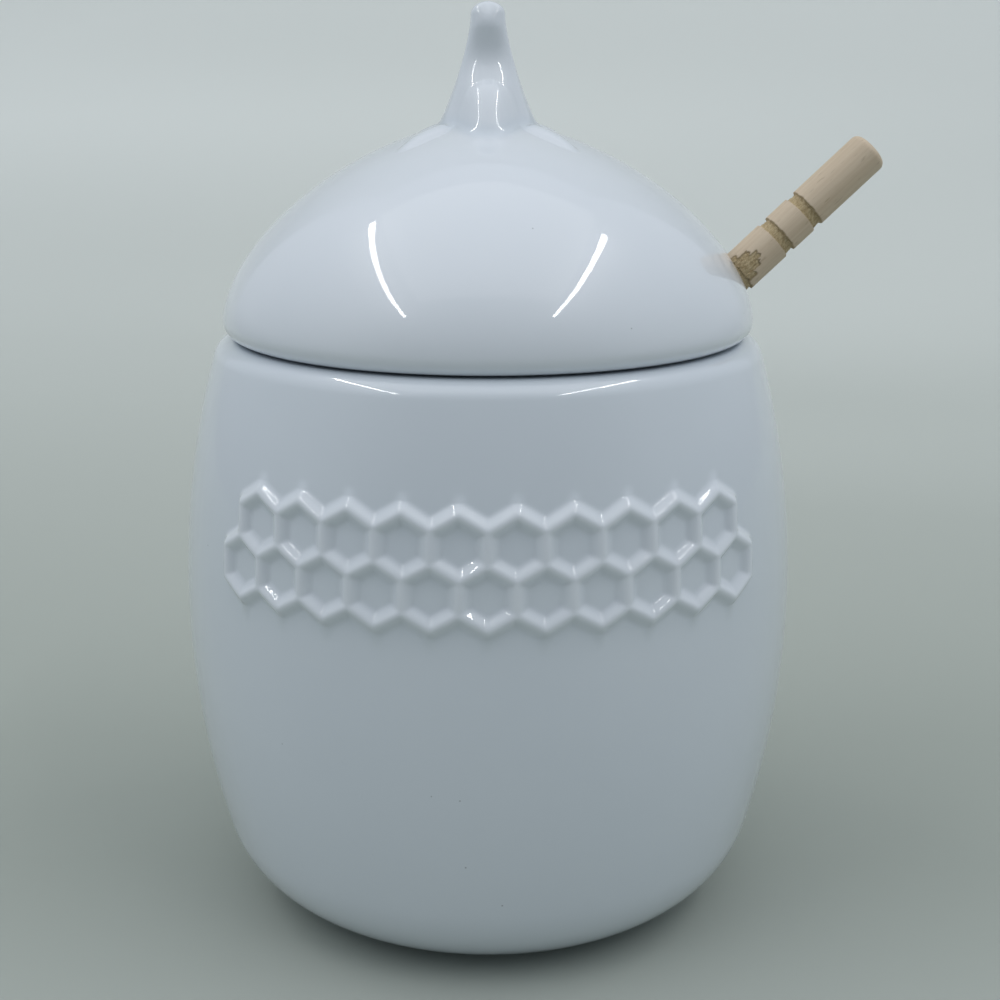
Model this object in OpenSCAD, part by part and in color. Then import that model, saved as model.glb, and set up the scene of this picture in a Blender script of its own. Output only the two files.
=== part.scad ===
// Honey pot of glazed porcelain: a barrel-shaped pot, a loose domed lid with a moulded bud on top
// and a notch in its edge, and a turned beech dipper that leans out through the notch.
// The origin is on the axis of the pot, on the surface it stands on. The front faces -Y.

/* [Pot] */
// Diameter of the pot at its widest
belly_d = 112; // [100:1:124]
// Height of the widest place above the table
belly_h = 57.5; // [50:0.5:62]
// Height of the pot to the top of its rim
pot_h = 106; // [98:1:114]
// Radius of the long curve of the side
side_r = 162; // [140:1:200]
// Radius of the round from the side to the foot
foot_round = 21; // [14:0.5:24]
// Radius of the round from the side to the rim
shoulder_round = 6.4; // [5.5:0.1:8]
// Thickness of the cast wall of the pot
pot_wall = 4.6; // [3.5:0.1:5]
// Width of the flat land on top of the rim, which the lid rests on
rim_land = 1.2; // [0.8:0.1:3]
// Radius of the round on the inner edge of the mouth
lip_round = 1.6; // [1:0.1:2]
// Width of the ring that the pot stands on
foot_ring_w = 4; // [3:0.5:6]
// Depth of the hollow under the base, inside the foot ring
foot_hollow = 1; // [0.5:0.1:1.5]

/* [Lid] */
// How far the lid's rim reaches out past the flat land of the pot's rim
lid_reach = 3.85; // [3:0.05:5]
// Radius of the round under the edge of the rim
rim_round = 2.8; // [2:0.1:3.5]
// Height of the full dome above the round of the rim
dome_h = 34.6; // [30:0.2:40]
// Fullness of the dome: 2 is an ellipse, less is more pointed
dome_power = 1.63; // [1.5:0.01:2]
// Thickness of the cast wall of the lid
lid_wall = 4; // [3.5:0.1:5]
// Depth of the ring under the lid that keeps it in the mouth
flange_depth = 5.5; // [4:0.5:8]
// Thickness of that ring
flange_t = 3.5; // [3:0.1:4.5]
// Play of that ring in the mouth, all round
flange_play = 1; // [0.6:0.1:1.5]

/* [Bud on the lid] */
// Radius of the bud where it grows out of the dome
bud_base_r = 8.8; // [7:0.1:11]
// Radius of the bud just under its round tip
bud_tip_r = 2.2; // [1.8:0.1:3]
// Height of the bud to the start of its tip
bud_h = 19; // [15:0.5:24]
// How fast the bud narrows at first: 1 is a straight taper, more draws it in
bud_power = 1.25; // [1:0.05:1.5]
// How far the sides of the bud swell and draw in
bud_swell = 0.2; // [0:0.1:0.8]
// Radius of the hollows in front and at the back, under the tip
hollow_r = 8.5; // [6:0.1:10]
// Thickness of the bud between the two hollows
waist_t = 4.6; // [4:0.1:6]
// Depth of the middle of the hollows below the tip
hollow_drop = 8; // [7:0.1:9]
// Length of the outer petals, which stand in front and at the back
petal_l = 18.6; // [16:0.2:20]
// Width of an outer petal
petal_w = 8.2; // [7:0.1:9]
// Lean of an outer petal from upright, in degrees
petal_lean = 32; // [26:1:36]
// Distance of the middle of an outer petal from the axis
petal_out = 7.4; // [6.5:0.1:8]
// How far that middle lies below the surface of the dome
petal_sink = 0.7; // [0:0.1:2]
// Length of the leaves, which lie on the dome between the petals
leaf_l = 18; // [14:0.5:22]
// Width of the round back of a leaf
leaf_w = 6.4; // [5:0.1:8]
// Distance of the middle of a leaf from the axis
leaf_out = 12.5; // [11:0.1:14]
// How far that middle lies below the surface of the dome
leaf_sink = 2; // [1.5:0.1:2.5]
// Direction of the leaves, in degrees from the sides towards the front and back
leaf_turn = 38; // [25:1:50]

/* [Dipper] */
// Length of the dipper from end to end
dipper_l = 155; // [145:1:165]
// Diameter of the handle
handle_d = 7.7; // [7:0.1:9]
// Diameter of the head over its middle ring
head_d = 25; // [20:0.5:28]
// Diameter of the core between the rings
core_d = 11; // [9:0.5:13]
// Number of rings on the head
ring_count = 7; // [5:1:8]
// Thickness of each ring
ring_t = 2.8; // [2:0.1:3.2]
// Distance from one ring to the next
ring_pitch = 4.7; // [4:0.1:5.2]
// Slimness of the end rings, as a share of the middle ring
end_ring = 0.82; // [0.7:0.01:1]
// Length of the taper from the head to the handle
neck_l = 16; // [10:1:24]
// Radius of the rounded edge of the free end
end_round = 1.2; // [0.5:0.1:2]
// Width of the grooves cut round the handle
groove_w = 1.9; // [1:0.1:2.5]
// Depth of the grooves cut round the handle
groove_depth = 0.6; // [0.3:0.1:1]
// Place of the first groove, from the free end
groove_a = 16.5; // [12:0.5:19]
// Place of the second groove, from the free end
groove_b = 23.3; // [21:0.1:26]
// Place of the third groove, from the free end
groove_c = 33.6; // [29:0.1:38]
// Slope of the dipper above level, in degrees
dipper_slope = 42.5; // [40:0.5:46]
// Direction in which the dipper leans out, in degrees from the right towards the back
dipper_turn = 8; // [0:1:30]

/* [Fits] */
// Gap between pieces that rest on each other
seat_gap = 0.3; // [0.2:0.05:0.4]
// Room between the handle and each side of the notch
notch_play = 1.5; // [1:0.1:2.5]
// Room between the handle and the top of the notch
notch_rise = 1; // [0.5:0.1:2]

/* [Hidden] */
$fn = 96;
// Angle of the bud's tip arc at which it meets the sides
tip_turn = 15;

// Centres of the arcs that make the side of the pot: side, foot and shoulder, as [radius, height]
side_c = [belly_d / 2 - side_r, belly_h];
foot_c = [side_c.x + sqrt(pow(side_r - foot_round, 2) - pow(belly_h - foot_round, 2)), foot_round];
shoulder_z = pot_h - shoulder_round;
shoulder_c = [side_c.x + sqrt(pow(side_r - shoulder_round, 2) - pow(shoulder_z - belly_h, 2)),
              shoulder_z];
foot_turn = atan2(foot_c.y - side_c.y, foot_c.x - side_c.x);
shoulder_turn = atan2(shoulder_c.y - side_c.y, shoulder_c.x - side_c.x);

lip_c = [shoulder_c.x - rim_land, pot_h - lip_round];
mouth_r = lip_c.x - lip_round;
neck_z = pot_h - pot_wall;
foot_ring_r = foot_c.x - foot_ring_w;

// The lid rests on the rim of the pot
seat_z = pot_h + seat_gap;
lid_r = shoulder_c.x + lid_reach;
dome_z = seat_z + rim_round;
flange_r = mouth_r - flange_play;
flange_in_r = flange_r - flange_t;
flange_z = seat_z - flange_depth;
shelf_z = seat_z + lid_wall;
bud_z = dome_z + dome_rise(bud_base_r, lid_r, dome_h);
bud_top_z = bud_z + bud_h;
// A leaf lies along the slope of the dome at its middle
leaf_lean = 90 - atan2(dome_rise(leaf_out - 1, lid_r, dome_h) - dome_rise(leaf_out + 1, lid_r, dome_h), 2);

// The dipper: its axis passes the lip of the mouth at a distance, and the head lies by the far wall.
// Places in its own upright plane are [distance from the axis of the pot, height].
handle_r = handle_d / 2;
head_l = (ring_count - 1) * ring_pitch + ring_t;
along = [cos(dipper_slope), sin(dipper_slope)];
across = [-sin(dipper_slope), cos(dipper_slope)];
pass_point = lip_c + (lip_round + seat_gap + handle_r) * across;
// The end that lies deepest is the nearest at which every ring still clears the far wall
dipper_low = pass_point + max([for (i = [0:ring_count - 1]) wall_reach(i)]) * along;

// Highest place of the handle where it crosses the edge of the lid
handle_top_z = pass_point.y + (lid_r - rim_round - pass_point.x) * tan(dipper_slope)
             + handle_r / cos(dipper_slope);
notch_r = handle_r + notch_play;
notch_top_z = handle_top_z + notch_rise;

// Points of an arc about c from one angle to another in n steps
function arc(c, r, from, to, n) =
    [for (i = [0:n]) c + r * [cos(from + (to - from) * i / n), sin(from + (to - from) * i / n)]];

// Height of a dome of radius r_full and height h_full over the place at radius r
function dome_rise(r, r_full, h_full) =
    h_full * pow(1 - pow(r / r_full, dome_power), 1 / dome_power);

// Outline of a dome from its edge inwards to the radius r_end
function dome_arc(r_full, h_full, r_end, n) =
    let (last = acos(pow(r_end / r_full, dome_power / 2)))
    [for (i = [0:n]) let (a = last * i / n)
        [r_full * pow(cos(a), 2 / dome_power), dome_z + h_full * pow(sin(a), 2 / dome_power)]];

// Outline of the bud: a taper that swells low down and draws in under the tip
function bud_radius(t) =
    bud_tip_r + (bud_base_r - bud_tip_r) * pow(1 - t, bud_power) + bud_swell * sin(360 * t);

// Radius of ring i of the head, which is a slim barrel
function ring_r(i) = head_d / 2 * (end_ring + (1 - end_ring) * sin(180 * (i + 0.5) / ring_count));

// Place along the axis, from the lip, of the head's low end when ring i lies seat_gap from the wall:
// the round edge of the ring is a ball that must fit inside the arc of the inner wall
function wall_reach(i) =
    let (mid = ring_t / 2 + i * ring_pitch,
         q = pass_point + (ring_r(i) - ring_t / 2) * across + mid * along - [-side_c.x, side_c.y],
         b = q * along,
         c = q * q - pow(side_r - pot_wall - seat_gap - ring_t / 2, 2))
    -b - sqrt(b * b - c);

// The wall of the pot as one closed outline: under the foot, up the outside, over the rim, down inside
module pot() {
    color("#eef1f4")
    rotate_extrude()
        polygon(concat(
            [[0, foot_hollow], [foot_ring_r - foot_hollow, foot_hollow], [foot_ring_r, 0]],
            arc(foot_c, foot_round, -90, foot_turn, 8),
            arc(side_c, side_r, foot_turn, shoulder_turn, 8),
            arc(shoulder_c, shoulder_round, shoulder_turn, 90, 5),
            arc(lip_c, lip_round, 90, 180, 3),
            [[mouth_r, neck_z]],
            arc(shoulder_c, shoulder_round - pot_wall, 90, shoulder_turn, 3),
            arc(side_c, side_r - pot_wall, shoulder_turn, foot_turn, 8),
            arc(foot_c, foot_round - pot_wall, foot_turn, -90, 6),
            [[0, pot_wall]]));
}

// The lid before it is hollowed: the dome down to its rim, and the ring below that sits in the mouth
module dome() {
    rotate_extrude()
        polygon(concat(
            [[0, flange_z], [flange_r, flange_z], [flange_r, seat_z]],
            arc([lid_r - rim_round, dome_z], rim_round, -90, 0, 6),
            dome_arc(lid_r, dome_h, 0, 26)));
}

// The hollow of the lid, which leaves a wall of even thickness and a shelf behind the ring
module dome_hollow() {
    rotate_extrude()
        polygon(concat(
            [[0, flange_z - 1], [flange_in_r, flange_z - 1], [flange_in_r, shelf_z],
             [lid_r - lid_wall, shelf_z]],
            [for (p = [2:26]) dome_arc(lid_r - lid_wall, dome_h - lid_wall, 0, 26)[p]]));
}

// The middle of the bud, which shows between the outer petals: a tapered stem with a round tip,
// pinched from the front and the back under the tip
module bud_stem() {
    difference() {
        rotate_extrude()
            polygon(concat(
                [[0, bud_z - lid_wall / 2], [bud_base_r, bud_z - lid_wall / 2]],
                [for (i = [0:12]) [bud_radius(i / 12), bud_z + bud_h * i / 12]],
                arc([0, bud_top_z], bud_tip_r, tip_turn, 90, 6)));
        for (side = [-1, 1])
            translate([0, side * (waist_t / 2 + hollow_r), bud_top_z + bud_tip_r - hollow_drop])
                sphere(r = hollow_r);
    }
}

// A petal or leaf is a slim egg that leans in against the bud, with its middle near the surface of
// the dome, so that about half of it stands out
module egg(length, width, out, sink, lean) {
    translate([out, 0, dome_z + dome_rise(out, lid_r, dome_h) - sink])
        rotate([0, -lean, 0])
            rotate_extrude()
                polygon([for (i = [-6:6]) [width / 2 * cos(15 * i), length / 2 * sin(15 * i)]]);
}

// The outer petals stand in front and at the back
module petals() {
    for (turn = [90, 270])
        rotate([0, 0, turn]) egg(petal_l, petal_w, petal_out, petal_sink, petal_lean);
}

// The leaves lie along the dome between the petals
module leaves() {
    for (side = [0, 180])
        for (turn = [-leaf_turn, leaf_turn])
            rotate([0, 0, side + turn]) egg(leaf_l, leaf_w, leaf_out, leaf_sink, leaf_lean);
}

// The notch in the edge of the lid: an arched slot that is open below
module notch() {
    rotate([0, 0, dipper_turn]) {
        translate([flange_in_r - flange_t, 0, notch_top_z - notch_r])
            rotate([0, 90, 0]) cylinder(r = notch_r, h = lid_r);
        translate([flange_in_r - flange_t, -notch_r, flange_z - 1])
            cube([lid_r, 2 * notch_r, notch_top_z - notch_r - flange_z + 1]);
    }
}

module lid() {
    color("#e9edf1")
    difference() {
        union() {
            dome();
            bud_stem();
            petals();
            leaves();
        }
        dome_hollow();
        notch();
    }
}

// The dipper, turned from one piece: its outline stands on end, with the head at the bottom
module dipper_outline() {
    core_r = core_d / 2;
    for (i = [0:ring_count - 1])
        translate([0, i * ring_pitch]) {
            square([ring_r(i) - ring_t / 2, ring_t]);
            translate([ring_r(i) - ring_t / 2, ring_t / 2]) intersection() {
                circle(d = ring_t, $fn = 32);
                translate([0, -ring_t]) square(2 * ring_t);
            }
        }
    difference() {
        polygon(concat(
            [[0, ring_t / 2], [core_r, ring_t / 2], [core_r, head_l],
             [handle_r, head_l + neck_l]],
            arc([handle_r - end_round, dipper_l - end_round], end_round, 0, 90, 4),
            [[0, dipper_l]]));
        for (place = [groove_a, groove_b, groove_c])
            translate([handle_r - groove_depth, dipper_l - place - groove_w / 2])
                square([handle_r, groove_w]);
    }
}

module dipper() {
    color("#c9ad84")
    rotate([0, 0, dipper_turn])
        translate([dipper_low.x, 0, dipper_low.y])
            rotate([0, 90 - dipper_slope, 0])
                rotate_extrude() dipper_outline();
}

pot();
lid();
dipper();
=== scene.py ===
# A honey pot of glazed white porcelain with its loose domed lid and a turned beech dipper.
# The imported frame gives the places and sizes; this script gives the surfaces and finishes.
import math
import bpy
import numpy as np
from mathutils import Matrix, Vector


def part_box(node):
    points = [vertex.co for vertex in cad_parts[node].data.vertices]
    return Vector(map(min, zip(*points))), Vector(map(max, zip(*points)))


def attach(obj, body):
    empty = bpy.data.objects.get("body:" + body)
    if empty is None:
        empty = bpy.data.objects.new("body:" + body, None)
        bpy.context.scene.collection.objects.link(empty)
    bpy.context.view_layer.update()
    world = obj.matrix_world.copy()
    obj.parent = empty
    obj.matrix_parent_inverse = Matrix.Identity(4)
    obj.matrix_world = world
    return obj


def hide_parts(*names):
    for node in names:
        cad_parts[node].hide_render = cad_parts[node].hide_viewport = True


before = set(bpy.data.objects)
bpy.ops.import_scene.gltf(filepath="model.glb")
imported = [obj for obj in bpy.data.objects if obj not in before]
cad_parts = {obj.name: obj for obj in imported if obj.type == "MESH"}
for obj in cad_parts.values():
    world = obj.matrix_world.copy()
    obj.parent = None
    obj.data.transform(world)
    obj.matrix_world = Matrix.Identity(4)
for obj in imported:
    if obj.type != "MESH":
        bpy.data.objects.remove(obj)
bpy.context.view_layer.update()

mm = 0.001


# small helpers for meshes and materials

def toLinear(hexCode):
    # an sRGB hex colour as linear red, green, blue and alpha
    parts = [int(hexCode[i:i + 2], 16) / 255 for i in (1, 3, 5)]
    return [p / 12.92 if p <= 0.04045 else ((p + 0.055) / 1.055) ** 2.4 for p in parts] + [1.0]


def arcPoints(centre, radius, fromDeg, toDeg, count):
    # points on a circle about centre, evenly spaced from one angle to the other
    turn = np.radians(np.linspace(fromDeg, toDeg, count))
    return np.column_stack([centre[0] + radius * np.cos(turn), centre[1] + radius * np.sin(turn)])


def carriedRound(outline, turns):
    # radius and height of an outline's points, each repeated at every turn about the axis
    return (np.repeat(outline[:, :1], len(turns), 1), np.repeat(outline[:, 1:], len(turns), 1))


def smoothStep(low, high, value):
    # 0 below low, 1 above high, and a smooth cubic between them
    t = np.clip((value - low) / (high - low), 0, 1)
    return t * t * (3 - 2 * t)


def between(low, high, value, lowEase, highEase):
    # 1 between low and high, easing to 0 on either side
    return (smoothStep(low - lowEase, low + lowEase, value)
            * smoothStep(high + highEase, high - highEase, value))


def meshFromGrid(name, points, extra=None):
    # points is rows x columns x 3, the columns close round; the first and last rows are poles.
    # Each pole row becomes one vertex with a fan, and every other pair of rows a belt of quads.
    rows, cols, _ = points.shape
    ring = points[1:-1].reshape(-1, 3)
    coords = np.vstack([points[:1, 0], ring, points[-1:, 0]])
    last = len(coords) - 1
    i = np.arange(rows - 3)[:, None]
    j = np.arange(cols)[None, :]
    k = (j + 1) % cols
    a, b = 1 + i * cols + j, 1 + i * cols + k
    quads = np.stack([a, b, b + cols, a + cols], -1).reshape(-1, 4)
    j, k = j[0], k[0]
    low = np.column_stack([np.zeros_like(j), 1 + k, 1 + j])
    base = 1 + (rows - 3) * cols
    high = np.column_stack([base + j, base + k, np.full_like(j, last)])
    loops = np.concatenate([low.ravel(), quads.ravel(), high.ravel()])
    counts = np.repeat([3, 4, 3], [len(low), len(quads), len(high)])
    starts = np.concatenate([[0], np.cumsum(counts)[:-1]])
    mesh = bpy.data.meshes.new(name)
    mesh.vertices.add(len(coords))
    mesh.vertices.foreach_set("co", np.ascontiguousarray(coords, dtype=np.float32).ravel())
    mesh.loops.add(len(loops))
    mesh.loops.foreach_set("vertex_index", loops.astype(np.int32))
    mesh.polygons.add(len(starts))
    mesh.polygons.foreach_set("loop_start", starts.astype(np.int32))
    mesh.update(calc_edges=True)
    for key, values in (extra or {}).items():
        flat = np.concatenate([values[:1, 0], values[1:-1].reshape(-1, *values.shape[2:]),
                               values[-1:, 0]])
        kind, field = ("FLOAT", "value") if flat.ndim == 1 else ("FLOAT_VECTOR", "vector")
        layer = mesh.attributes.new(key, kind, "POINT")
        layer.data.foreach_set(field, np.ascontiguousarray(flat, dtype=np.float32).ravel())
    mesh.shade_smooth()
    piece = bpy.data.objects.new(name, mesh)
    bpy.context.scene.collection.objects.link(piece)
    return piece


def addNode(tree, kind, settings=None, inputs=None, links=None, stops=()):
    # one node with its settings, its unlinked values, the sockets that feed it, and for a colour
    # ramp its stops as place and hex colour, from low to high
    node = tree.nodes.new(kind)
    for key, value in (settings or {}).items():
        setattr(node, key, value)
    for key, value in (inputs or {}).items():
        node.inputs[key].default_value = value
    for key, source in (links or {}).items():
        tree.links.new(source, node.inputs[key])
    for n, (place, hexCode) in enumerate(stops):
        marks = node.color_ramp.elements
        mark = marks[n] if n < len(marks) else marks.new(place)
        mark.position, mark.color = place, toLinear(hexCode)
    return node


def newMaterial(name):
    # an empty material, its node tree and its shader
    material = bpy.data.materials.new(name)
    material.use_nodes = True
    tree = material.node_tree
    return material, tree, tree.nodes["Principled BSDF"]


# finishes

glaze = {
    "bodyColour": "#e3e8ee",      # white porcelain body seen through clear glaze
    "pooledColour": "#d3dbe3",    # glaze that ran thick looks a little bluer
    "cloudSize": 38 * mm,         # patches where it lies a little thicker
    "cloudShare": 0.35,
    "roughness": 0.32,            # of the body under the glaze
    "specular": 0.3,
    "glazeRoughness": 0.035,
    "glazeIndex": 1.5,
    "waveSize": 15 * mm,          # the slow waves of a brushed or dipped glaze
    "waveDepth": 0.08 * mm,
    "grainSize": 2.2 * mm,        # fine orange peel of the glaze
    "grainDepth": 0.0035 * mm,
    "speckSpacing": 8 * mm,       # specks in the glaze, a little larger than real ones to show
    "speckSize": 0.16 * mm,
    "speckStrength": 0.7,
    "speckColour": "#8f959b",
}


def porcelainGlaze(name):
    # glazed porcelain, slip cast and dipped: bright smooth white under a wet-looking clear coat,
    # whose slow waves bend the reflections of the lamps a little
    material, tree, shader = newMaterial(name)
    place = addNode(tree, "ShaderNodeTexCoord").outputs["Object"]
    cloud = addNode(tree, "ShaderNodeTexNoise",
                    inputs={"Scale": 1 / glaze["cloudSize"], "Detail": 2}, links={"Vector": place})
    pool = addNode(tree, "ShaderNodeAttribute", {"attribute_name": "pool"})
    amount = addNode(tree, "ShaderNodeMath", {"operation": "MULTIPLY_ADD", "use_clamp": True},
                     {1: glaze["cloudShare"]}, {0: cloud.outputs["Fac"], 2: pool.outputs["Fac"]})
    colour = addNode(tree, "ShaderNodeMix", {"data_type": "RGBA"},
                     {"A": toLinear(glaze["bodyColour"]), "B": toLinear(glaze["pooledColour"])},
                     {"Factor": amount.outputs[0]})
    # a speck sits in the middle of a cell, where the distance to it is under the speck's radius
    speck = glaze["speckSize"] / glaze["speckSpacing"]
    cells = addNode(tree, "ShaderNodeTexVoronoi", inputs={"Scale": 1 / glaze["speckSpacing"]},
                    links={"Vector": place})
    near = addNode(tree, "ShaderNodeMapRange", {"interpolation_type": "SMOOTHSTEP"},
                   {"From Min": 1.4 * speck, "From Max": 0.6 * speck,
                    "To Max": glaze["speckStrength"]},
                   {"Value": cells.outputs["Distance"]})
    speckled = addNode(tree, "ShaderNodeMix", {"data_type": "RGBA"},
                       {"B": toLinear(glaze["speckColour"])},
                       {"A": colour.outputs["Result"], "Factor": near.outputs["Result"]})
    wave = addNode(tree, "ShaderNodeTexNoise", inputs={"Scale": 1 / glaze["waveSize"], "Detail": 1},
                   links={"Vector": place})
    grain = addNode(tree, "ShaderNodeTexNoise",
                    inputs={"Scale": 1 / glaze["grainSize"], "Detail": 1}, links={"Vector": place})
    slow = addNode(tree, "ShaderNodeBump", inputs={"Strength": 1, "Distance": glaze["waveDepth"]},
                   links={"Height": wave.outputs["Fac"]})
    fine = addNode(tree, "ShaderNodeBump", inputs={"Strength": 1, "Distance": glaze["grainDepth"]},
                   links={"Height": grain.outputs["Fac"], "Normal": slow.outputs["Normal"]})
    tree.links.new(speckled.outputs["Result"], shader.inputs["Base Color"])
    tree.links.new(fine.outputs["Normal"], shader.inputs["Coat Normal"])
    tree.links.new(slow.outputs["Normal"], shader.inputs["Normal"])
    shader.inputs["Roughness"].default_value = glaze["roughness"]
    shader.inputs["Specular IOR Level"].default_value = glaze["specular"]
    shader.inputs["Coat Weight"].default_value = 1.0
    shader.inputs["Coat Roughness"].default_value = glaze["glazeRoughness"]
    shader.inputs["Coat IOR"].default_value = glaze["glazeIndex"]
    return material


wood = {
    "light": "#d9c8b1",
    "mid": "#cfbca3",
    "dark": "#c3ae92",
    "fleck": "#a08a6e",
    "cut": "#cfbb94",             # torn fibres in the grooves
    "cutDark": "#ab946d",
    "rim": "#95805a",             # painted shade: a dark line along the edge of a cut, where its step falls in shadow
    "grainAcross": 0.55 * mm,     # width of the fine grain lines
    "grainAlong": 26 * mm,        # their length
    "fleckAcross": 0.35 * mm,     # ray flecks of beech, drawn a little coarser to show
    "fleckAlong": 2.4 * mm,
    "fleckStrength": 0.4,
    "bandsPerMetre": (260, 260, 14),        # broad tones, 4 mm across and 70 mm along
    "fibresPerMetre": (2600, 2600, 1300),   # torn fibres, 0.4 mm across and 0.8 mm along
    "edgeShadeStrength": 2.4,
    "fibreDepth": 0.25 * mm,
    "poreDepth": 0.03 * mm,
    "roughness": 0.62,
    "specular": 0.35,
}


def turnedBeech(name):
    # bare beech, turned and sanded: pale straight grain with short darker flecks, matt,
    # and rougher darker fibres where the tool cut across the grain, with painted shade along each
    # cut's edge
    material, tree, shader = newMaterial(name)
    place = addNode(tree, "ShaderNodeAttribute", {"attribute_name": "ownPlace"}).outputs["Vector"]
    cut = addNode(tree, "ShaderNodeAttribute", {"attribute_name": "cut"}).outputs["Fac"]
    across, along = 1 / wood["grainAcross"], 1 / wood["grainAlong"]
    grainPlace = addNode(tree, "ShaderNodeMapping", inputs={"Scale": (across, across, along)},
                         links={"Vector": place})
    grain = addNode(tree, "ShaderNodeTexNoise", inputs={"Scale": 1, "Detail": 3, "Roughness": 0.6},
                    links={"Vector": grainPlace.outputs[0]})
    broadPlace = addNode(tree, "ShaderNodeMapping", inputs={"Scale": wood["bandsPerMetre"]},
                         links={"Vector": place})
    broad = addNode(tree, "ShaderNodeTexNoise", inputs={"Scale": 1, "Detail": 2},
                    links={"Vector": broadPlace.outputs[0]})
    both = addNode(tree, "ShaderNodeMix", {"data_type": "FLOAT"}, {"Factor": 0.5},
                   {"A": grain.outputs["Fac"], "B": broad.outputs["Fac"]})
    tone = addNode(tree, "ShaderNodeValToRGB", links={"Fac": both.outputs["Result"]},
                   stops=[(0.3, wood["dark"]), (0.5, wood["mid"]), (0.7, wood["light"])])
    across, along = 1 / wood["fleckAcross"], 1 / wood["fleckAlong"]
    fleckPlace = addNode(tree, "ShaderNodeMapping", inputs={"Scale": (across, across, along)},
                         links={"Vector": place})
    fleck = addNode(tree, "ShaderNodeTexNoise", inputs={"Scale": 0.8, "Detail": 1},
                    links={"Vector": fleckPlace.outputs[0]})
    fleckMask = addNode(tree, "ShaderNodeMapRange", {"interpolation_type": "SMOOTHSTEP"},
                        {"From Min": 0.66, "From Max": 0.76, "To Max": wood["fleckStrength"]},
                        {"Value": fleck.outputs["Fac"]})
    flecked = addNode(tree, "ShaderNodeMix", {"data_type": "RGBA"},
                      {"B": toLinear(wood["fleck"])},
                      {"A": tone.outputs["Color"], "Factor": fleckMask.outputs["Result"]})
    fuzzPlace = addNode(tree, "ShaderNodeMapping", inputs={"Scale": wood["fibresPerMetre"]},
                        links={"Vector": place})
    fuzz = addNode(tree, "ShaderNodeTexNoise", inputs={"Scale": 1, "Detail": 4, "Roughness": 0.7},
                   links={"Vector": fuzzPlace.outputs[0]})
    fuzzTone = addNode(tree, "ShaderNodeValToRGB", links={"Fac": fuzz.outputs["Fac"]},
                       stops=[(0.38, wood["cutDark"]), (0.6, wood["cut"])])
    worked = addNode(tree, "ShaderNodeMix", {"data_type": "RGBA"},
                     links={"A": flecked.outputs["Result"], "B": fuzzTone.outputs["Color"],
                            "Factor": cut})
    # the edge of a cut is where this attribute passes one half; a dark line is painted there as the
    # shade of the cut's step
    uncut = addNode(tree, "ShaderNodeMath", {"operation": "SUBTRACT"}, {0: 1}, {1: cut})
    edge = addNode(tree, "ShaderNodeMath", {"operation": "MULTIPLY"},
                   links={0: cut, 1: uncut.outputs[0]})
    rim = addNode(tree, "ShaderNodeMath", {"operation": "MULTIPLY"}, {1: wood["edgeShadeStrength"]},
                  {0: edge.outputs[0]})
    colour = addNode(tree, "ShaderNodeMix", {"data_type": "RGBA"}, {"B": toLinear(wood["rim"])},
                     {"A": worked.outputs["Result"], "Factor": rim.outputs[0]})
    # one tenth of the fibres' relief is left where the surface is sanded
    fuzzDepth = addNode(tree, "ShaderNodeMath", {"operation": "MULTIPLY_ADD"}, {1: 0.9, 2: 0.1},
                        {0: cut})
    height = addNode(tree, "ShaderNodeMath", {"operation": "MULTIPLY"},
                     links={0: fuzz.outputs["Fac"], 1: fuzzDepth.outputs[0]})
    rough = addNode(tree, "ShaderNodeBump", inputs={"Distance": wood["fibreDepth"], "Strength": 1},
                    links={"Height": height.outputs[0]})
    pores = addNode(tree, "ShaderNodeBump", inputs={"Distance": wood["poreDepth"], "Strength": 1},
                    links={"Height": grain.outputs["Fac"], "Normal": rough.outputs["Normal"]})
    tree.links.new(colour.outputs["Result"], shader.inputs["Base Color"])
    tree.links.new(pores.outputs["Normal"], shader.inputs["Normal"])
    shader.inputs["Roughness"].default_value = wood["roughness"]
    shader.inputs["Specular IOR Level"].default_value = wood["specular"]
    return material


# the pot

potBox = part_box("pot")
potTop = potBox[1][2]
bellyRadius = potBox[1][0]

pot = {
    "bellyHeight": 57.5 * mm,
    "sideRadius": 162 * mm,
    "footRound": 21 * mm,
    "shoulderRound": 6.4 * mm,    # from which the mouth, the inside and the lid are worked out
    "glazedShoulder": 4 * mm,     # the outside turns in more tightly
    "wall": 4.6 * mm,
    "rimLand": 1.2 * mm,
    "lipRound": 1.6 * mm,
    "footRing": 4 * mm,
    "footHollow": 1 * mm,
    "mouthRound": 1 * mm,         # of the corner below the lip
    "bandMiddle": 77.3 * mm,      # height of the middle of the raised band
    "cellSize": 5.15 * mm,        # from the middle of a comb cell to its corner
    "cellsAcross": 11,
    "ridgeHalf": 2.1 * mm,        # half width of the soft ridges
    "ridgeHeight": 1.25 * mm,
    "fineHalf": 66,               # the mesh is fine within this many degrees of the front
    "fineColumns": 290,
    "backColumns": 76,
}

sideCentre = np.array([bellyRadius - pot["sideRadius"], pot["bellyHeight"]])


def cornerCentre(corner, height):
    # middle of a corner's arc at a height, which runs into the side's arc without a kink
    reach = pot["sideRadius"] - corner
    return np.array([sideCentre[0] + math.sqrt(reach ** 2 - (height - pot["bellyHeight"]) ** 2),
                     height])


footCentre = cornerCentre(pot["footRound"], pot["footRound"])
shoulderCentre = cornerCentre(pot["shoulderRound"], potTop - pot["shoulderRound"])
lipCentre = np.array([shoulderCentre[0] - pot["rimLand"], potTop - pot["lipRound"]])
mouthRadius = lipCentre[0] - pot["lipRound"]


def angleTo(corner):
    # direction in degrees from the middle of the side's arc to a corner's middle
    return math.degrees(math.atan2(corner[1] - sideCentre[1], corner[0] - sideCentre[0]))


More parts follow.
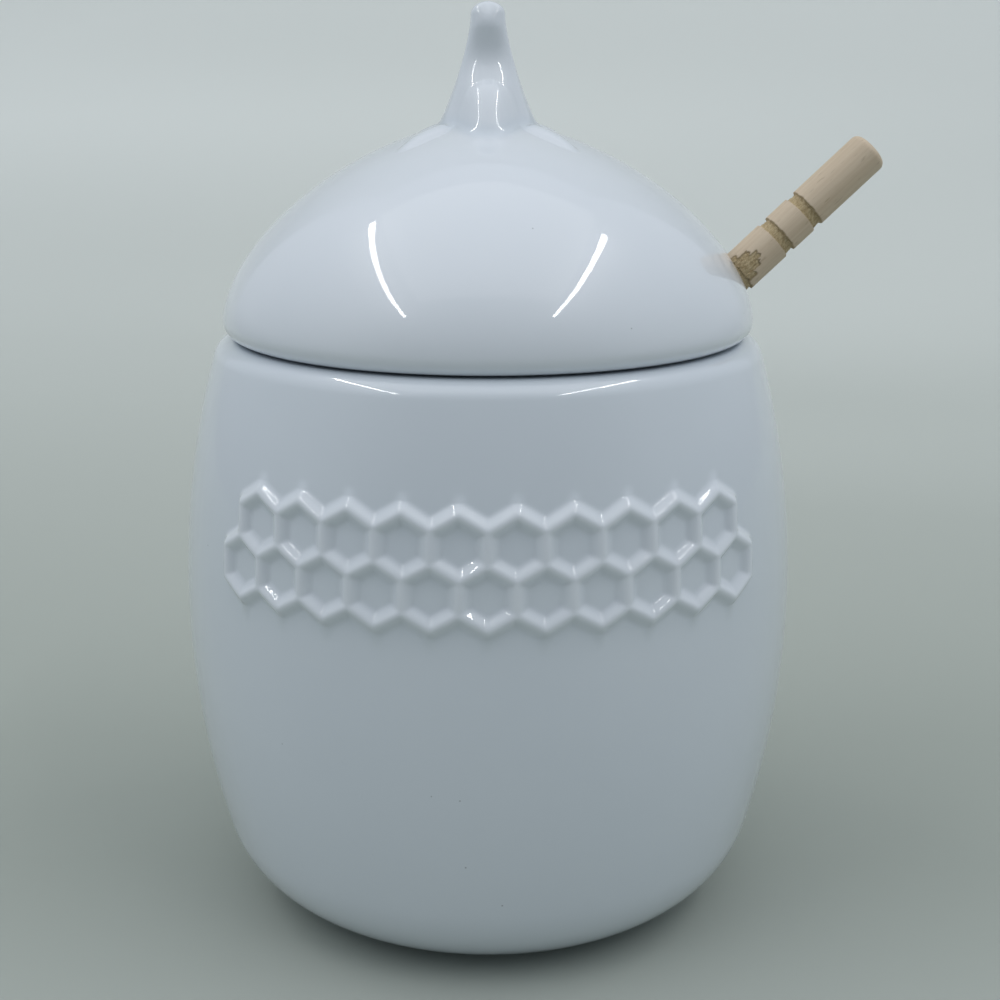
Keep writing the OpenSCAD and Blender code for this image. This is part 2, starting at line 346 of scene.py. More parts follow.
def combRelief(along, height):
    # height of the raised comb: two rows of hexagons with a soft ridge along each outline. The
    # ridge is a squared cosine of the straight distance to the nearest outline of any cell.
    size = pot["cellSize"]
    apothem = size * math.sqrt(3) / 2
    near = np.full(along.shape, 1.0)
    for row, count in ((-0.5, pot["cellsAcross"]), (0.5, pot["cellsAcross"] - 1)):
        first = -(count - 1) * apothem
        for n in range(count):
            dx = np.abs(along - (first + 2 * n * apothem))
            dz = np.abs(height - (pot["bandMiddle"] + row * 1.5 * size))
            # folded over a corner's line of symmetry, so that one upright side stands for all
            fold = 2 * np.minimum(dx / 2 - dz * math.sqrt(3) / 2, 0)
            aside = np.abs(dz + fold * math.sqrt(3) / 2) - size / 2
            near = np.minimum(near, np.hypot(np.maximum(aside, 0), dx - fold / 2 - apothem))
    t = np.clip(near / pot["ridgeHalf"], 0, 1)
    return pot["ridgeHeight"] * np.cos(t * math.pi / 2) ** 2


def makePot():
    # outline of the wall as arcs, turned about Z; the outside then grows by the raised comb
    foot, shoulder = angleTo(footCentre), angleTo(shoulderCentre)
    glazedCentre = cornerCentre(pot["glazedShoulder"], potTop - pot["glazedShoulder"])
    hollow, corner, wall = pot["footHollow"], pot["mouthRound"], pot["wall"]
    ringInside = footCentre[0] - pot["footRing"]
    bandHalf = 2.1 * pot["cellSize"]
    bandLow, bandHigh = np.degrees(np.arcsin(
        (pot["bandMiddle"] + np.array([-bandHalf, bandHalf]) - pot["bellyHeight"])
        / pot["sideRadius"]))
    outside = np.vstack([
        [[0, hollow], [ringInside * 0.5, hollow], [ringInside - 3 * hollow, hollow]],
        arcPoints((ringInside, hollow), hollow, 180, 270, 5),
        [[footCentre[0] - 1 * mm, 0]],
        arcPoints(footCentre, pot["footRound"], -90, foot, 24)[:-1],
        arcPoints(sideCentre, pot["sideRadius"], foot, bandLow, 20)[:-1],
        arcPoints(sideCentre, pot["sideRadius"], bandLow, bandHigh, 62)[:-1],
        arcPoints(sideCentre, pot["sideRadius"], bandHigh, angleTo(glazedCentre), 10)[:-1],
        arcPoints(glazedCentre, pot["glazedShoulder"], angleTo(glazedCentre), 90, 14)])
    inside = np.vstack([
        arcPoints(lipCentre, pot["lipRound"], 90, 180, 8),
        arcPoints((mouthRadius + corner, potTop - wall + corner), corner, 180, 270, 5),
        arcPoints(shoulderCentre, pot["shoulderRound"] - wall, 90, shoulder, 6)[:-1],
        arcPoints(sideCentre, pot["sideRadius"] - wall, shoulder, foot, 24)[:-1],
        arcPoints(footCentre, pot["footRound"] - wall, foot, -90, 14),
        [[footCentre[0] * 0.5, wall], [0, wall]]])
    outline = np.vstack([outside, inside])
    fine = np.radians(pot["fineHalf"])
    turns = np.concatenate([
        np.linspace(-fine, fine, pot["fineColumns"]),
        np.linspace(fine, 2 * math.pi - fine, pot["backColumns"] + 2)[1:-1]]) - math.pi / 2
    radius, height = carriedRound(outline, turns)
    fromFront = (turns + math.pi / 2 + math.pi) % (2 * math.pi) - math.pi
    isOutside = (np.arange(len(outline)) < len(outside))[:, None]
    raised = combRelief(fromFront[None, :] * radius, height) * isOutside
    # glaze pools at the foot of a ridge
    pool = np.clip(1 - raised / pot["ridgeHeight"], 0, 1) * (raised > 0) * 0.5
    radius = radius + raised
    grid = np.stack([radius * np.cos(turns), radius * np.sin(turns), height], -1)
    return meshFromGrid("pot_glazed", grid, {"pool": pool})


potPiece = makePot()
potPiece.data.materials.append(porcelainGlaze("pot_porcelain_glaze"))
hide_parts("pot")
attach(potPiece, "pot")
print("pot made", len(potPiece.data.polygons))


# how lid, pot and dipper fit together

fits = {
    "seatGap": 0.3 * mm,          # between pieces that touch
    "notchPlay": 1.5 * mm,        # room beside the handle in the lid's notch
    "notchRise": 1 * mm,          # and above it
}


# the dipper

dipper = {
    "length": 155 * mm,
    "handle": 3.85 * mm,
    "head": 12.5 * mm,
    "core": 5.5 * mm,
    "rings": 7,
    "ringThick": 2.8 * mm,
    "ringPitch": 4.7 * mm,
    "endRing": 0.82,              # about how large the outermost rings are beside the middle one
    "neck": 16 * mm,
    "endRound": 1.2 * mm,
    "grooves": [16.5 * mm, 23.3 * mm, 33.6 * mm],   # their middles, from the free end
    "grooveWidth": 1.9 * mm,
    "grooveDepth": 0.6 * mm,
    "grooveTears": [0.1 * mm, 0.1 * mm, 0.3 * mm],   # how far their edges wander
    "burr": 0.07 * mm,            # fibre pushed up beside a groove
    "burrWidth": 0.11 * mm,
    "burrOut": 0.16 * mm,
    # chips above the lowest groove: middle in degrees, half width in degrees, length, depth
    "chips": [(-143, 9, 1.5 * mm, 0.35 * mm), (-124, 12, 3.6 * mm, 0.5 * mm),
              (-108, 10, 4.8 * mm, 0.45 * mm), (-92, 11, 3.9 * mm, 0.45 * mm),
              (-75, 11, 2.2 * mm, 0.35 * mm)],
    "grooveRow": 0.1 * mm,        # spacing of the mesh rows in and by the grooves
    "chipRow": 0.13 * mm,
    "grooveReach": 1.5 * mm,      # how far beside a groove's middle the rows lie close
    "chipReach": 6.2 * mm,
    "plainRow": 2 * mm,
    "columns": 180,
    "slope": math.radians(42.5),
    "turn": math.radians(8),
}


# in the upright plane in which it leans: its direction, the square to that, and the point of its
# axis that passes the lip of the mouth
along = np.array([math.cos(dipper["slope"]), math.sin(dipper["slope"])])
across = np.array([-along[1], along[0]])
passing = lipCentre + (pot["lipRound"] + fits["seatGap"] + dipper["handle"]) * across


def swungRound(ahead, side, up):
    # a place given ahead, aside and up, swung about Z to the direction in which the dipper leans
    cosTurn, sinTurn = math.cos(dipper["turn"]), math.sin(dipper["turn"])
    return np.stack([ahead * cosTurn - side * sinTurn, ahead * sinTurn + side * cosTurn, up], -1)


def dipperStart():
    # the low end of the dipper, which passes the lip of the mouth with a small gap: its head lies
    # by the far wall, where each ring's round edge just clears the arc of the wall
    n = np.arange(dipper["rings"])
    half = dipper["ringThick"] / 2
    q = (passing - np.array([-sideCentre[0], sideCentre[1]])
         + (ringRadius(n) - half)[:, None] * across
         + (half + n * dipper["ringPitch"])[:, None] * along)
    b = q @ along
    c = (q ** 2).sum(1) - (pot["sideRadius"] - pot["wall"] - fits["seatGap"] - half) ** 2
    return passing + np.max(-b - np.sqrt(b * b - c)) * along


def ringRadius(n):
    # the rings swell towards the middle of the head as half a sine wave does
    swell = np.sin(math.pi * (n + 0.5) / dipper["rings"])
    return dipper["head"] * (dipper["endRing"] + (1 - dipper["endRing"]) * swell)


def unevenness(turn, phase):
    # four sines of unlike frequency, between about -1 and 1: where the tool tore instead of cut
    return (np.sin(9 * turn + phase) + 0.8 * np.sin(16 * turn + 2.3 * phase)
            + 0.6 * np.sin(31 * turn + 3.1 * phase) + 0.4 * np.sin(53 * turn + phase * phase)) / 2.2


def cutDepth(turn, place):
    # depth below the turned handle, and how much of the surface is torn fibre. A groove is deeper
    # on the side of the free end, and has a thin burr on the other side. Chips run along the grain.
    depth, torn = np.zeros_like(place * turn), np.zeros_like(place * turn)
    half = dipper["grooveWidth"] / 2
    for n, (groove, tear) in enumerate(zip(dipper["grooves"], dipper["grooveTears"])):
        near = place - (dipper["length"] - groove)
        low = -half + tear * 0.5 * unevenness(turn, 1.7 + n)
        high = half + tear * unevenness(turn, 4.1 + n)
        floor = (0.65 + 0.35 * (near + half) / (2 * half)
                 + 0.12 * unevenness(turn * 1.7 + near / mm, n))
        depth += between(low, high, near, 0.06 * mm, 0.09 * mm) * floor * dipper["grooveDepth"]
        beside = (near - low + dipper["burrOut"]) / dipper["burrWidth"]
        depth -= dipper["burr"] * np.exp(-beside ** 2)
        torn = np.maximum(torn, between(low, high, near, 0.05 * mm, 0.16 * mm))
    start = dipper["length"] - dipper["grooves"][-1] + half - 0.3 * mm
    for middle, halfTurn, long, deep in dipper["chips"]:
        degrees = np.degrees(turn)
        aside = np.abs(degrees - middle) + 1.1 * unevenness(place / (1.4 * mm), middle)
        end = start + long + 0.3 * mm * unevenness(turn * 2.2, middle)
        inside = (smoothStep(halfTurn + 2, halfTurn - 2, aside)
                  * smoothStep(end + 0.1 * mm, end - 0.1 * mm, place) * (place > start))
        slope = 1 - 0.45 * (place - start) / long
        fibre = 0.85 + 0.15 * np.sin(degrees * 1.3 + 0.8 * np.sin(place / mm))
        depth = np.maximum(depth, inside * deep * slope * fibre)
        torn = np.maximum(torn, inside)
    return depth, torn


def makeDipper():
    # outline as radius against distance from the low end, turned about its own axis, then leaned.
    # Rows lie close together by the grooves, where the cuts are taken off the handle's radius.
    half = dipper["ringThick"] / 2
    outline = [[[0, 0]]]
    for n in range(dipper["rings"]):
        edge = ringRadius(n) - half
        start = n * dipper["ringPitch"]
        outline += [arcPoints((edge, start + half), half, -90, 90, 11)]
        if n < dipper["rings"] - 1:
            outline += [[[dipper["core"], start + dipper["ringThick"] + 0.2 * mm],
                         [dipper["core"], start + dipper["ringPitch"] - 0.2 * mm]]]
    headLength = (dipper["rings"] - 1) * dipper["ringPitch"] + dipper["ringThick"]
    t = np.linspace(0, 1, 12)
    outline += [np.column_stack([
        dipper["core"] + (dipper["handle"] - dipper["core"]) * t, headLength + dipper["neck"] * t])]
    handleStart, handleEnd = headLength + dipper["neck"], dipper["length"] - dipper["endRound"]
    rows = [np.arange(handleStart + dipper["plainRow"], handleEnd, dipper["plainRow"]),
            [handleEnd - 0.3 * mm]]
    for groove in dipper["grooves"]:
        middle, chipped = dipper["length"] - groove, groove == dipper["grooves"][-1]
        above = dipper["chipReach" if chipped else "grooveReach"]
        rows += [np.arange(middle - dipper["grooveReach"], middle + above,
                           dipper["chipRow" if chipped else "grooveRow"])]
    rows = np.sort(np.concatenate(rows))
    rows = rows[np.concatenate([[True], np.diff(rows) > 0.04 * mm])]
    outline += [np.column_stack([np.full(len(rows), dipper["handle"]), rows]),
                arcPoints((dipper["handle"] - dipper["endRound"], handleEnd),
                          dipper["endRound"], 0, 90, 7),
                [[0, dipper["length"]]]]
    outline = np.vstack(outline)
    turns = np.linspace(-math.pi, math.pi, dipper["columns"], endpoint=False)
    radius, place = carriedRound(outline, turns)
    depth, torn = cutDepth(turns[None, :], place)
    onHandle = (place > handleStart) & (place < handleEnd)
    radius = radius - depth * onHandle
    own = np.stack([radius * np.cos(turns), radius * np.sin(turns), place], -1)
    low = dipperStart()
    ahead = low[0] + place * along[0] + own[..., 0] * along[1]
    up = low[1] + place * along[1] - own[..., 0] * along[0]
    grid = swungRound(ahead, own[..., 1], up)
    return meshFromGrid("dipper_turned", grid, {"ownPlace": own, "cut": torn * onHandle})


dipperPiece = makeDipper()
dipperPiece.data.materials.append(turnedBeech("dipper_turned_beech"))
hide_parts("dipper")
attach(dipperPiece, "dipper")
print("dipper made", len(dipperPiece.data.polygons))


# the lid

lid = {
    "reach": 3.85 * mm,
    "rimRound": 2.8 * mm,
    "domeHeight": 34.6 * mm,
    "domePower": 1.63,
    "wall": 4 * mm,
    "flangeDepth": 5.5 * mm,
    "flangeThick": 3.5 * mm,
    "flangePlay": 1 * mm,
    "flangeRound": 1 * mm,
    "flangeCorner": 0.4 * mm,     # small slopes where it meets the seat and the inside
    "shelfCorner": 0.8 * mm,
    "edgeRound": 1.1 * mm,        # glaze rounds the edges of the notch by this much
    "columns": 336,
    "sharpAngle": 38,             # in degrees, past which the notch's edges are shaded as edges
}
bud = {
    "base": 8.8 * mm,
    "tip": 3 * mm,
    "tipHeight": 2.2 * mm,        # of the blunt end seen from the front
    "tipSlope": 4.5 * mm,         # height over which its front and back lean in
    "height": 19 * mm,
    "power": 1.5,
    "waistDepth": 1.75 * mm,      # how far front and back are drawn in under the tip
    "waistDrop": 9.3 * mm,
    "waistHalf": 7.5 * mm,
    "petalLength": 18.6 * mm,
    "petalWidth": 8.2 * mm,
    "petalLean": math.radians(32),
    "petalOut": 7.4 * mm,
    "petalSink": 0.7 * mm,
    "leafLength": 18 * mm,
    "leafWidth": 6.4 * mm,
    "leafOut": 12.5 * mm,
    "leafSink": 2 * mm,
    "leafTurn": math.radians(38),
    "blend": 3 * mm,              # how softly the petals run into the stem
    "leafBlend": 0.7 * mm,
    "reach": 27 * mm,             # radius on the dome up to which the mesh is fine
    "budRows": 84,
    "domeRows": 56,
    "smoothings": 60,             # passes that round the join of bud and dome
    "smoothRows": 14,             # rows on either side over which they fade
    "poolRows": 5,                # the same for the glaze that pools there
}
seatHeight = potTop + fits["seatGap"]
domeStart = seatHeight + lid["rimRound"]
lidRadius = shoulderCentre[0] + lid["reach"]
flangeRadius = mouthRadius - lid["flangePlay"]
flangeInside = flangeRadius - lid["flangeThick"]
shelfHeight = seatHeight + lid["wall"]


def domeRise(radius):
    # height of the dome over a radius: a superellipse, whose shares to a power add up to one
    share = np.clip(radius / lidRadius, 0, 1) ** lid["domePower"]
    return domeStart + lid["domeHeight"] * (1 - share) ** (1 / lid["domePower"])


def domeReach(height, shrink=0.0):
    # radius of the same dome at a height; shrink takes a wall off its radius and height
    share = np.clip((height - domeStart) / (lid["domeHeight"] - shrink), 0, 1) ** lid["domePower"]
    return (lidRadius - shrink) * (1 - share) ** (1 / lid["domePower"])


# the handle's upper side where it leaves the lid, and the heights of the bud's parts
handleTop = (passing[1] + (lidRadius - lid["rimRound"] - passing[0]) * math.tan(dipper["slope"])
             + dipper["handle"] / math.cos(dipper["slope"]))
budFoot = float(domeRise(bud["base"]))
budTop = budFoot + bud["height"]
tipTop = budTop + bud["tipHeight"]


def softMax(a, b, width):
    # the larger of two values, rounded over by a parabola where they are nearly equal
    near = np.maximum(width - np.abs(a - b), 0) / width
    return np.maximum(a, b) + near * near * width / 4


def stemRadius(turn, height):
    # an ellipse at each height. Its half width is a power taper that fills out below the tip; its
    # half depth is that less a waist, one wave of a cosine. The tip closes blunt at the sides and
    # in a longer slope in front and at the back, mixed by the squared sine of the direction.
    t = np.clip((height - budFoot) / bud["height"], 0, 1)
    wide = bud["tip"] + (bud["base"] - bud["tip"]) * (1 - t) ** bud["power"]
    drop = np.clip((height - tipTop + bud["waistDrop"]) / bud["waistHalf"], -1, 1)
    deep = wide - bud["waistDepth"] * (1 + np.cos(math.pi * drop)) / 2
    blunt = np.clip((height - budTop) / bud["tipHeight"], 0, 1)
    slope = np.clip((height - tipTop + bud["tipSlope"]) / bud["tipSlope"], 0, 1)
    facing = np.sin(turn) ** 2
    closing = (1 - facing) * np.sqrt(1 - blunt ** 2) + facing * (1 - slope ** 1.5) ** 0.7
    return closing * wide * deep / np.hypot(deep * np.cos(turn), wide * np.sin(turn))


def petalRadius(turn, height):
    # distance from the axis to the far side of a leaning egg: the larger root of a quadratic,
    # carried on past the egg's edge so that it stays continuous
    long, short = bud["petalLength"] / 2, bud["petalWidth"] / 2
    lean, out = bud["petalLean"], bud["petalOut"]
    rise = height - (domeRise(out) - bud["petalSink"])
    along = out * math.sin(lean) + rise * math.cos(lean)
    across = -out * math.cos(lean) + rise * math.sin(lean)
    c, s = np.cos(turn), np.sin(turn)
    a = (c * math.sin(lean) / long) ** 2 + ((c * math.cos(lean)) ** 2 + s ** 2) / short ** 2
    b = -c * math.sin(lean) * along / long ** 2 + c * math.cos(lean) * across / short ** 2
    d = (along / long) ** 2 + (across / short) ** 2 - 1
    root = b * b - a * d
    return (-b + np.sign(root) * np.sqrt(np.abs(root))) / a


def budRadius(turn, height):
    # the stem joined softly to the two outer petals, which fade out below the tip
    radius = stemRadius(turn, height)
    fade = smoothStep(budTop - 1 * mm, budTop - 5 * mm, height)
    for facing in (-math.pi / 2, math.pi / 2):
        petal = petalRadius(turn - facing, height)
        radius += fade * (softMax(radius, petal, bud["blend"]) - radius)
    return radius


def leafHeight(turn, radius):
    # how far the four leaves stand out of the dome: eggs lying along it, sunk by a set depth
    long, short = bud["leafLength"] / 2, bud["leafWidth"] / 2
    stand = np.full(np.broadcast(turn, radius).shape, -1.0)
    for side in (0, math.pi):
        for facing in (side - bud["leafTurn"], side + bud["leafTurn"]):
            out = radius * np.cos(turn - facing) - bud["leafOut"]
            across = radius * np.sin(turn - facing)
            shape = np.clip(1 - (out / long) ** 2 - (across / short) ** 2, 0, None)
            stand = np.maximum(stand, short * np.sqrt(shape) - bud["leafSink"])
    soft = softMax(stand, np.zeros_like(stand), bud["leafBlend"])
    return np.maximum(soft - bud["leafBlend"] / 4 * smoothStep(-bud["leafBlend"], 0, stand), 0)


def makeBud(turns):
    # grid of the bud and the dome round it: rows from the tip down to where the bud meets the dome,
    # found by going back and forth between the two surfaces, then on over the dome
    foot = np.full(turns.shape, bud["base"])
    for _ in range(40):
        foot = budRadius(turns, domeRise(foot))
    level = np.linspace(0, 1, bud["budRows"])[:, None] ** 1.5
    height = tipTop - level * (tipTop - domeRise(foot))
    wall = np.stack([budRadius(turns[None, :], height), height], -1)
    over = foot + (bud["reach"] - foot) * np.linspace(0, 1, bud["domeRows"])[1:, None]
    shell = np.stack([over, domeRise(over)], -1)
    grid = np.concatenate([wall, shell])
    join = len(wall) - 1
    rows = np.arange(len(grid))[:, None, None]
    # smoothed along the rows, more in front and at the back, where the petals run out flat
    weight = (np.clip(1.4 - np.abs(rows - join) / bud["smoothRows"], 0, 1)
              * (0.35 + 0.65 * np.sin(turns)[:, None] ** 2))
    for _ in range(bud["smoothings"]):
        smooth = grid.copy()
        smooth[1:-1] = (grid[:-2] + 2 * grid[1:-1] + grid[2:]) / 4
        grid = grid + weight * (smooth - grid)
    rows = rows[..., 0]
    pool = np.exp(-((rows - join) / bud["poolRows"]) ** 2) * np.ones_like(grid[..., 0])
    radius, height = grid[..., 0], grid[..., 1]
    # the leaves stand out square to the dome and begin a little way from the bud
    stand = leafHeight(turns[None, :], radius) * (rows >= join)
    stand = stand * smoothStep(0, 1.5 * mm, radius - foot)
    step = 0.1 * mm
    slope = np.arctan((domeRise(radius - step) - domeRise(radius + step)) / (2 * step))
    return radius + stand * np.sin(slope), height + stand * np.cos(slope), pool


def domeArc(shrink, startRadius, count):
    # the dome from a radius out to its edge, on an angle that packs the rows where it bends most
    first = math.acos((startRadius / (lidRadius - shrink)) ** (lid["domePower"] / 2))
    turn = np.linspace(first, 0, count)
    return np.column_stack([
        (lidRadius - shrink) * np.cos(turn) ** (2 / lid["domePower"]),
        domeStart + (lid["domeHeight"] - shrink) * np.sin(turn) ** (2 / lid["domePower"])])


def makeNotchCutter():
    # an arch open below, carried through the rim along the dipper's direction; at the outer and
    # inner face of the lid it widens along a quarter circle, which leaves rounded edges
    half = dipper["handle"] + fits["notchPlay"]
    archHeight = handleTop + fits["notchRise"] - half
    low = seatHeight - lid["flangeDepth"] - 3 * mm
    arch = arcPoints((0, archHeight), half, 0, 180, 33)
    level = np.linspace(low, archHeight, 12)[:-1]
    right = np.column_stack([np.full(len(level), half), level])
    aside, height = np.vstack([right, arch, right[::-1] * [-1, 1]]).T
    outwards = np.tile([1.0, 0], (len(level), 1))
    normal = np.vstack([outwards, (arch - [0, archHeight]) / half, -outwards])
    # how far out the lid's two faces lie at each point of the arch
    below = np.clip(domeStart - height, 0, lid["rimRound"])
    outer = np.where(height > domeStart, domeReach(height),
                     lidRadius - lid["rimRound"] + np.sqrt(lid["rimRound"] ** 2 - below ** 2))
    inner = np.where(height > shelfHeight, domeReach(height, lid["wall"]), flangeInside)
    outer, inner = [np.sqrt(reach ** 2 - aside ** 2) for reach in (outer, inner)]
    # from well outside the lid to well inside it: place of each arch, and how much it is widened
    bend = lid["edgeRound"]
    steps = np.radians(np.linspace(90, 0, 7))
    curve = bend * np.cos(steps)[:, None]
    flare = bend * (1 - np.sin(steps))
    place = np.vstack([outer + 8 * mm, outer + 2 * mm, (outer - bend + curve)[::-1],
                       inner + bend - curve, inner - 2 * mm, inner - 6 * mm])
    widen = np.concatenate([[bend, bend], flare[::-1], flare, [bend, bend]])[:, None]
    points = swungRound(place, aside + widen * normal[:, 0], height + widen * normal[:, 1])
    ends = points[[0, -1]].mean(1, keepdims=True) * np.ones((1, points.shape[1], 1))
    # its columns run the other way round, so that its faces point outwards
    return meshFromGrid("notch_cutter", np.concatenate([ends[:1], points, ends[1:]])[:, ::-1])


def makeLid():
    # tip to rim over the outside, then under the rim, round the ring and up inside to the axis
    turns = np.linspace(0, 2 * math.pi, lid["columns"], endpoint=False)
    radius, height, pool = makeBud(turns)
    corner, small, shelf = lid["flangeRound"], lid["flangeCorner"], lid["shelfCorner"]
    flangeLow = seatHeight - lid["flangeDepth"] + corner
    outside = np.vstack([
        domeArc(0, bud["reach"], 40)[1:],
        arcPoints((lidRadius - lid["rimRound"], domeStart), lid["rimRound"], 0, -90, 12)[1:],
        [[flangeRadius + small, seatHeight], [flangeRadius, seatHeight - small]],
        arcPoints((flangeRadius - corner, flangeLow), corner, 0, -90, 5),
        arcPoints((flangeInside + corner, flangeLow), corner, 270, 180, 5)])
    dome = domeArc(lid["wall"], 0, 36)[::-1]
    inside = np.vstack([
        [[flangeInside, shelfHeight - shelf], [flangeInside + shelf, shelfHeight],
         [lidRadius - lid["wall"] - 1 * mm, shelfHeight]],
        dome[dome[:, 1] > shelfHeight + shelf]])
    inside[-1, 0] = 0
    around, above = carriedRound(np.vstack([outside, inside]), turns)
    radius, height = np.vstack([radius, around])[::-1], np.vstack([height, above])[::-1]
    pool = np.vstack([pool, np.zeros_like(around)])[::-1]
    grid = np.stack([radius * np.cos(turns), radius * np.sin(turns), height], -1)
    piece = meshFromGrid("lid_glazed", grid, {"pool": pool})
    cutter = makeNotchCutter()
    cut = piece.modifiers.new("notch", "BOOLEAN")
    cut.operation, cut.solver, cut.object = "DIFFERENCE", "EXACT", cutter
    graph = bpy.context.evaluated_depsgraph_get()
    done = bpy.data.meshes.new_from_object(piece.evaluated_get(graph))
    piece.modifiers.clear()
    piece.data = done
    bpy.data.objects.remove(cutter)
    done.shade_smooth()
    done.set_sharp_from_angle(angle=math.radians(lid["sharpAngle"]))
    return piece


lidPiece = makeLid()
lidPiece.data.materials.append(porcelainGlaze("lid_porcelain_glaze"))
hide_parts("lid")
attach(lidPiece, "lid")
print("lid made", len(lidPiece.data.polygons))


# the stage: a pale cloth that curves up from the floor behind the pot, lamps, room and camera

stage = {
    "low": "#a4aaa3",             # painted light: the one cloth is painted darker where it lies and paler where it hangs
    "high": "#e6eae7",
    "backDistance": 900 * mm,
    "bend": 450 * mm,
    "wallHeight": 1570 * mm,
    "halfWidth": 760 * mm,
    "frontDistance": 900 * mm,
    "foldSize": 420 * mm,         # of the soft folds across the cloth, whose light and shade are painted as bands
    "foldStretch": (0.35, 1, 2.4),
    "foldShadeStrength": 0.9,
    "paintedLightTowards": (0, 1, 1.2),   # painted light: the cloth is painted paler to the back and upwards
    "paleFrom": 60 * mm,
    "paleTo": 1050 * mm,
}


def makeBackdrop():
    # a strip carried along X: flat floor, a quarter circle of bend and a wall
    bendStart = stage["backDistance"] - stage["bend"]
    bend = arcPoints((bendStart, stage["bend"]), stage["bend"], -90, 0, 32)
    path = np.vstack([[[-stage["frontDistance"], 0]], bend,
                      [[stage["backDistance"], stage["wallHeight"]]]])
    x = np.linspace(-stage["halfWidth"], stage["halfWidth"], 9)
    verts = np.stack(np.broadcast_arrays(x, path[:, :1], path[:, 1:]), -1).reshape(-1, 3)
    first = np.arange(len(path) - 1)[:, None] * len(x) + np.arange(len(x) - 1)
    faces = np.stack([first, first + 1, first + len(x) + 1, first + len(x)], -1).reshape(-1, 4)
    mesh = bpy.data.meshes.new("backdrop")
    mesh.from_pydata(verts.tolist(), [], faces.tolist())
    mesh.shade_smooth()
    drop = bpy.data.objects.new("backdrop", mesh)
    bpy.context.scene.collection.objects.link(drop)
    return drop


def paleCloth(name):
    # smooth pale cloth: painted lighter towards the top, with faint bands painted as the shade of
    # soft level folds
    material, tree, shader = newMaterial(name)
    place = addNode(tree, "ShaderNodeTexCoord").outputs["Object"]
    # painted light: the cloth's colour grows paler towards the back and up the wall
    way = addNode(tree, "ShaderNodeVectorMath", {"operation": "DOT_PRODUCT"},
                  {1: stage["paintedLightTowards"]}, {0: place})
    rise = addNode(tree, "ShaderNodeMapRange",
                   inputs={"From Min": stage["paleFrom"], "From Max": stage["paleTo"]},
                   links={"Value": way.outputs["Value"]})
    # painted shade: soft level folds in the cloth, drawn only as faint lighter and darker bands
    long = addNode(tree, "ShaderNodeMapping", inputs={"Scale": stage["foldStretch"]},
                   links={"Vector": place})
    folds = addNode(tree, "ShaderNodeTexNoise",
                    inputs={"Scale": 1 / stage["foldSize"], "Detail": 1},
                    links={"Vector": long.outputs[0]})
    amount = addNode(tree, "ShaderNodeMath", {"operation": "MULTIPLY_ADD", "use_clamp": True},
                     {1: stage["foldShadeStrength"], 2: -stage["foldShadeStrength"] / 2},
                     {0: folds.outputs["Fac"]})
    both = addNode(tree, "ShaderNodeMath", {"operation": "ADD", "use_clamp": True},
                   links={0: rise.outputs["Result"], 1: amount.outputs[0]})
    colour = addNode(tree, "ShaderNodeMix", {"data_type": "RGBA"},
                     {"A": toLinear(stage["low"]), "B": toLinear(stage["high"])},
                     {"Factor": both.outputs[0]})
    tree.links.new(colour.outputs["Result"], shader.inputs["Base Color"])
    shader.inputs["Roughness"].default_value = 0.9
    shader.inputs["Specular IOR Level"].default_value = 0.1
    return material


backdrop = makeBackdrop()
backdrop.data.materials.append(paleCloth("pale_backdrop_cloth"))

lights = {
    # two long lamps overhead run front to back: middle, length and turn about Z of each
    "tubes": {"tube_left": ((-1.335, -0.54, 2.0), 2.53, math.radians(-9.4)),
              "tube_right": ((1.18, -0.69, 2.0), 2.33, 0.0)},
    "tubeWidth": 60 * mm,
    "tubePower": 10,
    "topSize": 1500 * mm,         # a soft square lamp over the pot
    "topHeight": 1500 * mm,
    "topPower": 3,
    "zenith": "#d3dae2",          # the room overhead, at eye level and below
    "horizon": "#cbd3da",
    "below": "#5f666c",
    "front": "#6c737a",           # the open side, where the camera stands, is darker
    "seen": "#b6bcb9",            # what a camera sees past the edge of the cloth
    "strength": 0.95,
}


def addLamp(name, place, size, power, turn=(0, 0, 0)):
    # a white rectangular lamp that shines down before it is turned
    lamp = bpy.data.lights.new(name, "AREA")
    lamp.shape = "RECTANGLE"
    lamp.size, lamp.size_y = size
    lamp.energy = power
    holder = bpy.data.objects.new(name, lamp)
    holder.location = place
    holder.rotation_euler = turn
    bpy.context.scene.collection.objects.link(holder)


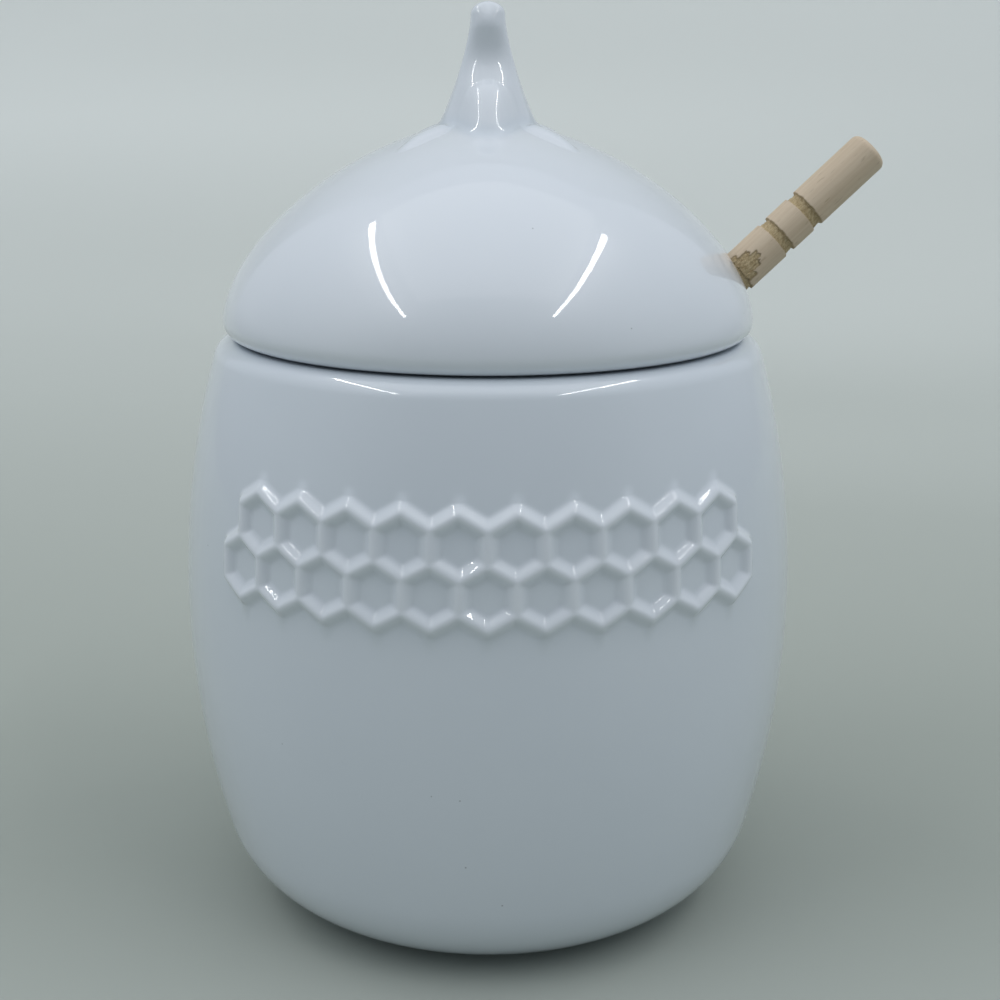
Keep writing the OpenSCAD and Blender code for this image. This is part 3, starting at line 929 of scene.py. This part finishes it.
for name, (place, length, swing) in lights["tubes"].items():
    addLamp(name, place, (lights["tubeWidth"], length), lights["tubePower"],
            (0, math.atan2(place[0], place[2]), swing))
addLamp("soft_top", (0, -200 * mm, lights["topHeight"]), (lights["topSize"],) * 2,
        lights["topPower"])

world = bpy.data.worlds.new("room")
bpy.context.scene.world = world
world.use_nodes = True
room = world.node_tree
direction = addNode(room, "ShaderNodeSeparateXYZ",
                    links={0: addNode(room, "ShaderNodeTexCoord").outputs["Generated"]})
share = addNode(room, "ShaderNodeMapRange", inputs={"From Min": -1},
                links={"Value": direction.outputs["Z"]})
fade = addNode(room, "ShaderNodeValToRGB", links={"Fac": share.outputs["Result"]},
               stops=[(0.35, lights["below"]), (0.55, lights["horizon"]),
                      (0.9, lights["zenith"])])
forward = addNode(room, "ShaderNodeMapRange", {"interpolation_type": "SMOOTHSTEP"},
                  {"From Min": -0.3, "From Max": -0.95}, {"Value": direction.outputs["Y"]})
sky = addNode(room, "ShaderNodeMix", {"data_type": "RGBA"}, {"B": toLinear(lights["front"])},
              {"Factor": forward.outputs["Result"], "A": fade.outputs["Color"]})
look = addNode(room, "ShaderNodeMix", {"data_type": "RGBA"}, {"B": toLinear(lights["seen"])},
               {"Factor": addNode(room, "ShaderNodeLightPath").outputs["Is Camera Ray"],
                "A": sky.outputs["Result"]})
room.links.new(look.outputs["Result"], room.nodes["Background"].inputs["Color"])
room.nodes["Background"].inputs["Strength"].default_value = lights["strength"]

# as far off, as high and looking down as steeply as the outlines in the photograph say
camera = {
    "distance": 289.6 * mm,
    "height": 152.9 * mm,
    "down": 15.22,
    "lens": 57.6,
    "film": 36,
    "shift": 0.012,
}
lens = bpy.data.cameras.new("camera")
lens.lens = camera["lens"]
lens.sensor_width = camera["film"]
lens.shift_x = camera["shift"]
lens.clip_start = 0.01
eye = bpy.data.objects.new("camera", lens)
eye.location = (0, -camera["distance"], camera["height"])
eye.rotation_euler = (math.radians(90 - camera["down"]), 0, 0)
bpy.context.scene.collection.objects.link(eye)
bpy.context.scene.camera = eye
bpy.context.scene.view_settings.view_transform = "Standard"
print("backdrop, lamps and camera set")
